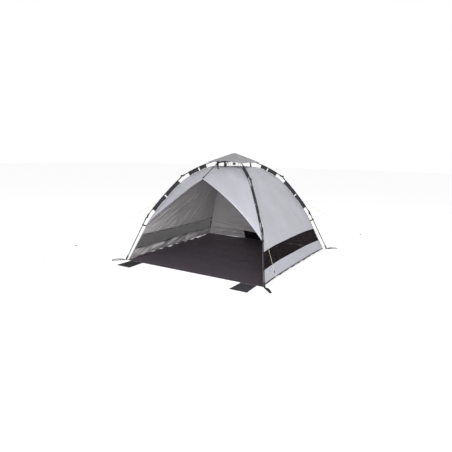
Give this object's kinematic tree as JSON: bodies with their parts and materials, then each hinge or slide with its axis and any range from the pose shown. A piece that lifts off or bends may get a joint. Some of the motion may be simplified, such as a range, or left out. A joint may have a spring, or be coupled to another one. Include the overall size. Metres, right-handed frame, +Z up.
{
  "type": "tarp shelter",
  "caption": "Quick-up dome beach shelter: open-fronted cloth canopy on a floor, hung from folding legs on a central hub, with a rain cap, mesh side windows and guy lines.",
  "frame": {"origin": "on the ground under the hub, at the middle of the legs", "axes": "+Z up, the open front faces -Y, +X to the right for someone inside looking at the back wall from the front"},
  "size_m": [3.467, 3.467, 1.4052],
  "materials": {
    "canopy_cloth": "silver-coated plain-weave polyester, slight sheen, grey on the inside",
    "cap_cloth": "mid-grey plain-weave polyester",
    "ground_cloth": "dark grey coated floor cloth",
    "mesh_cloth": "fine black knitted mesh",
    "sleeve_cloth": "black plain-weave polyester",
    "fibreglass": "black fibreglass rod with black fittings",
    "plastic": "black moulded plastic",
    "webbing": "black woven webbing and cloth",
    "cord": "pale yellow-green braided cord"
  },
  "bodies": {
    "ground": {"groundsheet": "ground_cloth", "right_wall": "canopy_cloth", "right_mesh_window": "mesh_cloth", "left_wall": "canopy_cloth", "left_mesh_window": "mesh_cloth", "back_wall": "canopy_cloth", "roof_panel": "canopy_cloth", "front_panel_left": "canopy_cloth", "front_panel_right": "canopy_cloth", "inner_pocket": "mesh_cloth", "peg_strap_front_left": "webbing", "peg_strap_front_right": "webbing", "peg_strap_rear_right": "webbing", "peg_strap_rear_left": "webbing", "guy_line_front_left": "cord", "guy_line_front_right": "cord", "guy_line_rear_right": "cord", "guy_line_rear_left": "cord"},
    "hub": {"hub_body": "plastic", "top_cap": "cap_cloth"},
    "hub_pull": {"hub_release_pull": "plastic"},
    "upper_front_left": {"upper_pole_front_left": "fibreglass", "upper_knuckle_front_left": "plastic", "upper_sleeve_front_left": "sleeve_cloth"},
    "middle_front_left": {"middle_pole_front_left": "fibreglass", "lower_knuckle_front_left": "plastic", "middle_sleeve_front_left": "sleeve_cloth"},
    "lower_front_left": {"lower_pole_front_left": "fibreglass", "foot_front_left": "plastic"},
    "upper_front_right": {"upper_pole_front_right": "fibreglass", "upper_knuckle_front_right": "plastic", "upper_sleeve_front_right": "sleeve_cloth"},
    "middle_front_right": {"middle_pole_front_right": "fibreglass", "lower_knuckle_front_right": "plastic", "middle_sleeve_front_right": "sleeve_cloth"},
    "lower_front_right": {"lower_pole_front_right": "fibreglass", "foot_front_right": "plastic"},
    "upper_rear_right": {"upper_pole_rear_right": "fibreglass", "upper_knuckle_rear_right": "plastic", "upper_sleeve_rear_right": "sleeve_cloth"},
    "middle_rear_right": {"middle_pole_rear_right": "fibreglass", "lower_knuckle_rear_right": "plastic", "middle_sleeve_rear_right": "sleeve_cloth"},
    "lower_rear_right": {"lower_pole_rear_right": "fibreglass", "foot_rear_right": "plastic"},
    "upper_rear_left": {"upper_pole_rear_left": "fibreglass", "upper_knuckle_rear_left": "plastic", "upper_sleeve_rear_left": "sleeve_cloth"},
    "middle_rear_left": {"middle_pole_rear_left": "fibreglass", "lower_knuckle_rear_left": "plastic", "middle_sleeve_rear_left": "sleeve_cloth"},
    "lower_rear_left": {"lower_pole_rear_left": "fibreglass", "foot_rear_left": "plastic"},
    "porch_arm": {"porch_arm": "fibreglass", "porch_knuckle": "plastic"},
    "porch_rod": {"porch_rod": "fibreglass"},
    "sand_pocket_left": {"sand_pocket_left": "webbing"},
    "sand_pocket_right": {"sand_pocket_right": "webbing"}
  },
  "joints": [
    {"name": "hub_lower", "type": "slide", "parent": "ground", "child": "hub", "axis": [0, 0, -1], "range_m": [0, 0.5], "deforming": ["right_wall", "right_mesh_window", "left_wall", "left_mesh_window", "back_wall", "roof_panel", "front_panel_left", "front_panel_right", "inner_pocket", "guy_line_front_left", "guy_line_front_right", "guy_line_rear_right", "guy_line_rear_left", "peg_strap_front_left", "peg_strap_front_right", "peg_strap_rear_right", "peg_strap_rear_left", "upper_sleeve_front_left", "upper_sleeve_front_right", "upper_sleeve_rear_right", "upper_sleeve_rear_left", "middle_sleeve_front_left", "middle_sleeve_front_right", "middle_sleeve_rear_right", "middle_sleeve_rear_left", "top_cap"]},
    {"name": "hub_hinge_front_left", "type": "hinge", "parent": "hub", "child": "upper_front_left", "pos_m": [-0.03889, -0.03889, 1.338], "axis": [0.7071, -0.7071, 0], "range_deg": [0, 68.64]},
    {"name": "upper_knuckle_hinge_front_left", "type": "hinge", "parent": "upper_front_left", "child": "middle_front_left", "pos_m": [-0.51015, -0.51015, 1.08939], "axis": [0.7071, -0.7071, 0], "range_deg": [-193.28, 0]},
    {"name": "lower_knuckle_hinge_front_left", "type": "hinge", "parent": "middle_front_left", "child": "lower_front_left", "pos_m": [-0.82584, -0.82584, 0.54651], "axis": [0.7071, -0.7071, 0], "range_deg": [0, 148.69]},
    {"name": "hub_hinge_front_right", "type": "hinge", "parent": "hub", "child": "upper_front_right", "pos_m": [0.03889, -0.03889, 1.338], "axis": [0.7071, 0.7071, 0], "range_deg": [0, 68.64]},
    {"name": "upper_knuckle_hinge_front_right", "type": "hinge", "parent": "upper_front_right", "child": "middle_front_right", "pos_m": [0.51015, -0.51015, 1.08939], "axis": [0.7071, 0.7071, 0], "range_deg": [-193.28, 0]},
    {"name": "lower_knuckle_hinge_front_right", "type": "hinge", "parent": "middle_front_right", "child": "lower_front_right", "pos_m": [0.82584, -0.82584, 0.54651], "axis": [0.7071, 0.7071, 0], "range_deg": [0, 148.69]},
    {"name": "hub_hinge_rear_right", "type": "hinge", "parent": "hub", "child": "upper_rear_right", "pos_m": [0.03889, 0.03889, 1.338], "axis": [-0.7071, 0.7071, 0], "range_deg": [0, 68.64]},
    {"name": "upper_knuckle_hinge_rear_right", "type": "hinge", "parent": "upper_rear_right", "child": "middle_rear_right", "pos_m": [0.51015, 0.51015, 1.08939], "axis": [-0.7071, 0.7071, 0], "range_deg": [-193.28, 0]},
    {"name": "lower_knuckle_hinge_rear_right", "type": "hinge", "parent": "middle_rear_right", "child": "lower_rear_right", "pos_m": [0.82584, 0.82584, 0.54651], "axis": [-0.7071, 0.7071, 0], "range_deg": [0, 148.69]},
    {"name": "hub_hinge_rear_left", "type": "hinge", "parent": "hub", "child": "upper_rear_left", "pos_m": [-0.03889, 0.03889, 1.338], "axis": [-0.7071, -0.7071, 0], "range_deg": [0, 68.64]},
    {"name": "upper_knuckle_hinge_rear_left", "type": "hinge", "parent": "upper_rear_left", "child": "middle_rear_left", "pos_m": [-0.51015, 0.51015, 1.08939], "axis": [-0.7071, -0.7071, 0], "range_deg": [-193.28, 0]},
    {"name": "lower_knuckle_hinge_rear_left", "type": "hinge", "parent": "middle_rear_left", "child": "lower_rear_left", "pos_m": [-0.82584, 0.82584, 0.54651], "axis": [-0.7071, -0.7071, 0], "range_deg": [0, 148.69]},
    {"name": "porch_arm_hinge", "type": "hinge", "parent": "hub", "child": "porch_arm", "pos_m": [0, -0.052, 1.292], "axis": [1, 0, 0], "range_deg": [0, 82.99]},
    {"name": "porch_knuckle_hinge", "type": "hinge", "parent": "porch_arm", "child": "porch_rod", "pos_m": [0, -0.43317, 1.28357], "axis": [1, 0, 0], "range_deg": [-194.61, 0]},
    {"name": "hub_pull_slide", "type": "slide", "parent": "hub", "child": "hub_pull", "axis": [0, 0, -1], "range_m": [0, 0.009], "stiffness_N_per_m": 400},
    {"name": "sand_pocket_fold_left", "type": "hinge", "parent": "ground", "child": "sand_pocket_left", "pos_m": [-0.8, -1.073, 0.003], "axis": [-1, 0, 0], "range_deg": [0, 175]},
    {"name": "sand_pocket_fold_right", "type": "hinge", "parent": "ground", "child": "sand_pocket_right", "pos_m": [0.8, -1.073, 0.003], "axis": [-1, 0, 0], "range_deg": [0, 175]}
  ],
  "couplings": [
    {"joint": "hub_hinge_front_left", "follows": "hub_lower", "rad_per_m": 2.3953},
    {"joint": "upper_knuckle_hinge_front_left", "follows": "hub_lower", "rad_per_m": -6.7459},
    {"joint": "lower_knuckle_hinge_front_left", "follows": "hub_lower", "rad_per_m": 5.1895},
    {"joint": "hub_hinge_front_right", "follows": "hub_lower", "rad_per_m": 2.3953},
    {"joint": "upper_knuckle_hinge_front_right", "follows": "hub_lower", "rad_per_m": -6.7459},
    {"joint": "lower_knuckle_hinge_front_right", "follows": "hub_lower", "rad_per_m": 5.1895},
    {"joint": "hub_hinge_rear_right", "follows": "hub_lower", "rad_per_m": 2.3953},
    {"joint": "upper_knuckle_hinge_rear_right", "follows": "hub_lower", "rad_per_m": -6.7459},
    {"joint": "lower_knuckle_hinge_rear_right", "follows": "hub_lower", "rad_per_m": 5.1895},
    {"joint": "hub_hinge_rear_left", "follows": "hub_lower", "rad_per_m": 2.3953},
    {"joint": "upper_knuckle_hinge_rear_left", "follows": "hub_lower", "rad_per_m": -6.7459},
    {"joint": "lower_knuckle_hinge_rear_left", "follows": "hub_lower", "rad_per_m": 5.1895},
    {"joint": "porch_arm_hinge", "follows": "hub_lower", "rad_per_m": 2.8962},
    {"joint": "porch_knuckle_hinge", "follows": "hub_lower", "rad_per_m": -6.7926}
  ]
}
